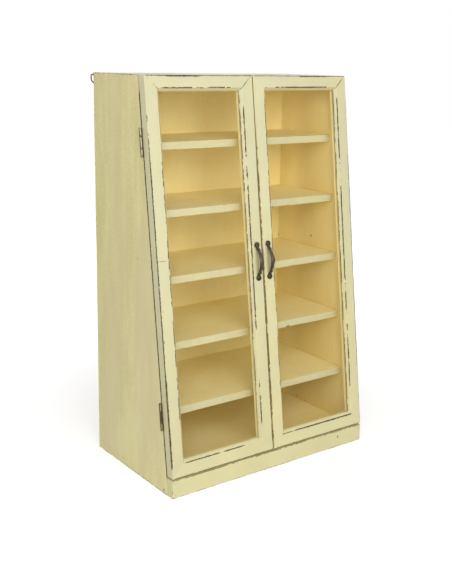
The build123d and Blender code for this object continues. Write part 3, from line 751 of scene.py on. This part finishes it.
def agedMetal(name, light, dark, rust, metallic, roughness, rustCover, level=None, paint=None, grip=None):
    # Iron or steel gone dull, with rust in the hollows. A hinge gives its level and the colour of its old paint,
    # and a handle how far up the door hands have burnished it.
    material = newMaterial(name)
    here = objectPlace()
    beaten = noise(here, *ageing["beatenNoise"])
    fine = noise(here, *ageing["fineNoise"])
    tone = plus(times(beaten, ageing["beatenShare"]), times(fine, ageing["fineShare"]))
    tone = ramp(tone, *ageing["toneRange"])
    rusty = ramp(noise(here, *ageing["rustNoise"]),
                 *[ageing[limit] - rustCover * ageing["rustGain"] for limit in ("rustFrom", "rustTo")])
    colour = blend(times(rusty, ageing["rustShare"]),
                   blend(tone, toLinear(*dark), toLinear(*light)), toLinear(*rust))
    if grip:
        fromGrip = apart(placeVectors()[1]["Z"], grip)
        colour = blend(fade(fromGrip, *ageing["gripSpan"]), colour, toLinear(*light))
    metal = times(minus(1.0, rusty), metallic)
    rough = ramp(tone, 0.0, 1.0, roughness + ageing["hollows"], roughness + ageing["ridges"])
    if level:
        covered = hingePaint(level)
        colour = blend(covered, colour, toLinear(*paint))
        metal = times(metal, minus(1.0, covered))
        rough = ramp(covered, 0.0, 1.0, rough, ageing["paintRoughness"], smooth=False)
    height = plus(beaten, times(fine, ageing["fineHeight"]))
    surface(colour, rough, height, ageing["relief"], Metallic=metal)
    return material


metals = {name: agedMetal(name, **look) for name, look in {
    "blackIron": {"light": (100, 98, 92), "dark": (40, 39, 37), "rust": (84, 62, 44),
                  "metallic": 0.85, "roughness": 0.42, "rustCover": 0.15},
    "handleIron": {"light": (95, 87, 64), "dark": (12, 11, 7), "rust": (66, 50, 32),
                   "metallic": 0.6, "roughness": 0.42, "rustCover": 0.10, "grip": cabinet["handleUp"]},
    "upperHingeSteel": {"light": (100, 84, 58), "dark": (56, 47, 32), "rust": (80, 60, 38), "metallic": 0.35,
                        "roughness": 0.6, "rustCover": 0.6, "level": "upper", "paint": (190, 178, 140)},
    "lowerHingeSteel": {"light": (88, 73, 50), "dark": (52, 43, 30), "rust": (74, 57, 35), "metallic": 0.35,
                        "roughness": 0.6, "rustCover": 0.6, "level": "lower", "paint": (144, 127, 86)},
    "dullSteel": {"light": (128, 124, 118), "dark": (74, 70, 64), "rust": (96, 66, 44),
                  "metallic": 0.9, "roughness": 0.45, "rustCover": 0.3},
}.items()}
dress(metals["dullSteel"], "hinge_case_screws", "hanger_screws", "back_pins")
for side in ("left", "right"):
    dress(metals["blackIron"], f"handle_screws_{side}", f"hanger_strap_{side}", f"hanger_ring_{side}")
    dress(metals["dullSteel"], f"hinge_door_screws_{side}")
    for level in ("upper", "lower"):
        dress(metals[f"{level}HingeSteel"],
              *[f"hinge_{piece}_{side}_{level}" for piece in ("case_leaf", "door_leaf", "pin")])

# The plinth's nail heads were punched in and painted over
nails = {
    "brush": (90.0, 90.0, 90.0), "amounts": {"Depth": 0.3, "Streaks": 0.5, "Blotches": 0.5},
    "seepNoise": (900.0, 2.0, 0.6), "seepRange": (0.45, 0.70, 0.0, 0.55),
    "wornNoise": (520.0, 2.0), "wornRange": (0.62, 0.72),
}
material = newMaterial("paintedNails")
here = objectPlace()
coat = layCoat(here, nails["brush"], "frontLow", "frontHigh", **nails["amounts"])
finishPaint(coat, cloud(here, nails, "worn"), here, [(cloud(here, nails, "seep"), "dirtAndShade")])
dress(material, "plinth_nails")

# Forged bow handles: a bow drawn out by steps, with a ball at each neck, on two domed pads. The first one is
# made standing at the origin, its bow towards -Y, then laid on the slope of the left door.
handle = {
    "span": 0.067,
    "pad": 0.0060, "padHigh": 0.0024, "padSides": 36,
    "domeSteps": ((0.0012, 0.0013), (0.0015, 0.0008)),   # inset, rise
    "reach": 0.0150, "foot": 0.0024, "footIn": 0.0044, "elbow": 0.38,
    "neck": (0.0031, 0.0026), "middle": (0.0045, 0.0034), "swelling": 1.8,   # half sizes, across and deep
    "beats": ((0.05, 23, 0.6), (0.03, 41, 0.0)),         # how deep, how many, where they start
    "ball": 0.0048, "ballAt": 0.845,
    "sides": 20, "steps": 40, "grain": 0.00042,
    "filed": {"factor": 0.5, "iterations": 3},
    "dentSize": 0.0034, "dentDeep": 0.0007,
}
bowHalf = handle["span"] / 2 - handle["footIn"]


def bowStation(share):
    # Place, lean and half sizes of the bow's section; share runs from -1 at the lower foot to 1 at the upper.
    # The two legs are nearly straight and meet in a rounded elbow.
    elbow = handle["elbow"]
    spread = (1 + elbow ** 2) ** 0.5 - elbow
    rise = 1 - ((share ** 2 + elbow ** 2) ** 0.5 - elbow) / spread
    place = Vector((0.0, -handle["foot"] - (handle["reach"] - handle["foot"]) * rise, share * bowHalf))
    steep = share / (share ** 2 + elbow ** 2) ** 0.5 / spread * (handle["reach"] - handle["foot"]) / bowHalf
    beaten = 1
    for deep, count, turn in handle["beats"]:
        beaten += deep * sin(count * share + turn)
    wide, thick = [low + (high - low) * rise ** handle["swelling"]
                   for low, high in zip(handle["neck"], handle["middle"])]
    along = (abs(share) - handle["ballAt"]) * bowHalf * (1 + steep ** 2) ** 0.5
    ball = max(handle["ball"] ** 2 - along ** 2, 0.0) ** 0.5
    return place, atan2(steep, 1.0), max(wide * beaten, ball), max(thick / beaten, ball)


bpy.ops.object.select_all(action="DESELECT")
place, lean, wide, thick = bowStation(-1.0)
bpy.ops.mesh.primitive_circle_add(vertices=handle["sides"], radius=1.0, fill_type="NGON", location=place,
                                  rotation=(lean, 0.0, 0.0))
leftHandle = bpy.context.object
leftHandle.name = "forged_handle_left"
bpy.ops.object.transform_apply()
bpy.ops.object.mode_set(mode="EDIT")
bpy.ops.mesh.select_all(action="SELECT")
bpy.ops.transform.resize(value=(wide, thick, thick), center_override=place)
for step in range(1, handle["steps"] + 1):
    nextPlace, nextLean, nextWide, nextThick = bowStation(2 * step / handle["steps"] - 1)
    bpy.ops.mesh.extrude_region_move(TRANSFORM_OT_translate={"value": nextPlace - place})
    bpy.ops.transform.rotate(value=lean - nextLean, orient_axis="X", center_override=nextPlace)
    bpy.ops.transform.resize(value=(nextWide / wide, nextThick / thick, nextThick / thick),
                             center_override=nextPlace)
    place, lean, wide, thick = nextPlace, nextLean, nextWide, nextThick
bpy.ops.mesh.select_all(action="SELECT")
bpy.ops.mesh.normals_make_consistent(inside=False)
bpy.ops.object.mode_set(mode="OBJECT")
pads = []
for end in (-1, 1):
    bpy.ops.object.select_all(action="DESELECT")
    bpy.ops.mesh.primitive_cylinder_add(
        vertices=handle["padSides"], radius=handle["pad"], depth=handle["padHigh"], rotation=(pi / 2, 0.0, 0.0),
        location=(0.0, -handle["padHigh"] / 2, end * handle["span"] / 2))
    pad = bpy.context.object
    bpy.ops.object.transform_apply()
    bpy.ops.object.mode_set(mode="EDIT")
    bpy.ops.mesh.select_mode(type="FACE")
    bpy.ops.mesh.select_all(action="DESELECT")
    bpy.ops.object.mode_set(mode="OBJECT")
    for face in pad.data.polygons:
        face.select = face.normal.y < -0.9   # only the face away from the door
    bpy.ops.object.mode_set(mode="EDIT")
    for inset, rise in handle["domeSteps"]:
        bpy.ops.mesh.inset(thickness=inset, depth=rise)
    bpy.ops.object.mode_set(mode="OBJECT")
    pads.append(pad)
for piece in (leftHandle, *pads):
    piece.select_set(True)
bpy.context.view_layer.objects.active = leftHandle
bpy.ops.object.join()
dents = bpy.data.textures.new("hammerDents", "CLOUDS")
dents.noise_scale = handle["dentSize"]
dents.noise_depth = 1
for kind, name, settings in (
        ("REMESH", "onePiece", {"mode": "VOXEL", "voxel_size": handle["grain"], "use_smooth_shade": True}),
        ("SMOOTH", "filed", handle["filed"]),
        ("DISPLACE", "hammered", {"texture": dents, "strength": handle["dentDeep"], "mid_level": 0.5})):
    modifier = leftHandle.modifiers.new(name, kind)
    for key, value in settings.items():
        setattr(modifier, key, value)
    bpy.ops.object.modifier_apply(modifier=name)
leftHandle.rotation_euler = (-cabinet["slant"], 0.0, 0.0)
leftHandle.location = onDoor(-cabinet["handleOut"], cabinet["handleUp"])
bpy.ops.object.transform_apply()
leftHandle.data.materials.append(metals["handleIron"])
rightHandle = leftHandle.copy()
rightHandle.data = leftHandle.data.copy()
rightHandle.name = "forged_handle_right"
bpy.context.scene.collection.objects.link(rightHandle)
bpy.ops.object.select_all(action="DESELECT")
rightHandle.select_set(True)
bpy.context.view_layer.objects.active = rightHandle
rightHandle.location = (2 * cabinet["handleOut"], 0.0, 0.0)
bpy.ops.object.transform_apply()
for side, piece in (("left", leftHandle), ("right", rightHandle)):
    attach(piece, f"door_{side}")
    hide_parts(f"handle_{side}")
print("handles forged:", len(leftHandle.data.polygons), "faces each")

# Window glass: clear, with a weak reflection that grows at a slant
glass = {
    "waveNoise": (9.0, 2.0, 0.4), "relief": {"Strength": 0.05, "Distance": 0.002},
    "filmNoise": (30.0, 4.0, 0.6), "filmRange": (0.4, 0.8, 1.0, 0.99), "gloss": 0.03, "bending": 1.15,
}
material = newMaterial("windowGlass")
here = objectPlace()
bump = addNode("ShaderNodeBump", values={**glass["relief"], "Height": noise(here, *glass["waveNoise"])})
film = cloud(here, glass, "film")
tint = addNode("ShaderNodeCombineColor", values={0: film, 1: film, 2: film}).outputs[0]
clear = addNode("ShaderNodeBsdfTransparent", values={"Color": tint})
shine = addNode("ShaderNodeBsdfGlossy", values={"Roughness": glass["gloss"], "Normal": bump.outputs[0]})
slanted = addNode("ShaderNodeFresnel", values={"IOR": glass["bending"], "Normal": bump.outputs[0]})
leaving = addNode("ShaderNodeNewGeometry").outputs["Backfacing"]   # only the face towards the viewer shines
share = times(slanted.outputs[0], minus(1.0, leaving))
pane = addNode("ShaderNodeMixShader", values={0: share, 1: clear.outputs[0], 2: shine.outputs[0]})
addNode("ShaderNodeOutputMaterial", values={"Surface": pane.outputs[0]})
dress(material, "door_left_glass", "door_right_glass")
print("metal and glass done")

# Floor: the lamps don't reach far, so the paper pales instead
paper = {"wide": 16.0, "level": -0.0003, "grey": (0.8, 0.8, 0.8, 1.0), "paling": (0.25, 1.2, 0.46, 0.80)}
white = (1.0, 1.0, 1.0, 1.0)
bpy.ops.object.select_all(action="DESELECT")
bpy.ops.mesh.primitive_plane_add(size=paper["wide"], location=(0.0, 0.0, paper["level"]))
floor = bpy.context.object
floor.name = "studioFloor"
material = newMaterial("paleFloor")
distance = addNode("ShaderNodeVectorMath", {"operation": "LENGTH"}, {0: objectPlace()}).outputs["Value"]
seen = addNode("ShaderNodeLightPath").outputs["Is Camera Ray"]
paling = times(ramp(distance, *paper["paling"]), seen)
matt = addNode("ShaderNodeBsdfDiffuse", values={"Color": paper["grey"]})
lift = addNode("ShaderNodeEmission", values={"Color": white, "Strength": paling})
both = addNode("ShaderNodeAddShader", values={0: matt.outputs[0], 1: lift.outputs[0]})
addNode("ShaderNodeOutputMaterial", values={"Surface": both.outputs[0]})
floor.data.materials.append(material)

lamps = {"key": {"place": (-1.20, -1.59, 1.57), "size": 0.9, "power": 11.6},     # high, from the viewer's side
         "front": {"place": (-0.38, -2.13, 1.21), "size": 1.2, "power": 17.8},   # straight on
         "low": {"place": (-1.37, -1.82, 0.74), "size": 1.2, "power": 8.4},      # level with the top shelves
         "left": {"place": (-2.09, -0.56, 1.21), "size": 1.4, "power": 8.2},     # evens the side out
         "rear": {"place": (1.43, 1.70, 1.02), "size": 1.6, "power": 12.0}}      # for the far side and the back
lampsAimAt = Vector((0.0, 0.0, 0.42))
glowAround = 0.30
world = bpy.data.worlds.new("softStudio")
bpy.context.scene.world = world
world.use_nodes = True
tree = world.node_tree
tree.nodes.clear()
path = addNode("ShaderNodeLightPath").outputs
direct = most([path[f"Is {kind} Ray"] for kind in ("Camera", "Glossy", "Transmission")])
soft, plainWhite = [addNode("ShaderNodeBackground", values={"Color": white, "Strength": strength})
                    for strength in (glowAround, 1.0)]
mixed = addNode("ShaderNodeMixShader", values={0: direct, 1: soft.outputs[0], 2: plainWhite.outputs[0]})
addNode("ShaderNodeOutputWorld", values={"Surface": mixed.outputs[0]})
for name, look in lamps.items():
    bpy.ops.object.light_add(type="AREA", location=look["place"])
    lamp = bpy.context.object
    lamp.name = f"{name}Panel"
    lamp.data.shape = "SQUARE"
    lamp.data.size = look["size"]
    lamp.data.energy = look["power"]
    lamp.rotation_euler = (lampsAimAt - Vector(look["place"])).to_track_quat("-Z", "Y").to_euler()
    lamp.visible_camera = False

view = {"place": (-1.11142, -1.48137, 0.83163), "turn": -0.6429, "tilt": -0.2291, "lean": 0.0195,
        "lens": 55.23, "sensor": 36.0, "shift": (-0.01413, -0.04156)}
bpy.ops.object.camera_add(location=view["place"])
camera = bpy.context.object
camera.name = "photoView"
camera.rotation_euler = (Matrix.Rotation(view["turn"], 3, "Z") @ Matrix.Rotation(pi / 2 + view["tilt"], 3, "X")
                         @ Matrix.Rotation(view["lean"], 3, "Z")).to_euler()
camera.data.lens = view["lens"]
camera.data.sensor_width = view["sensor"]
camera.data.shift_x, camera.data.shift_y = view["shift"]
bpy.context.scene.camera = camera
bpy.context.scene.view_settings.view_transform = "Standard"
print("stage, lights and camera set")
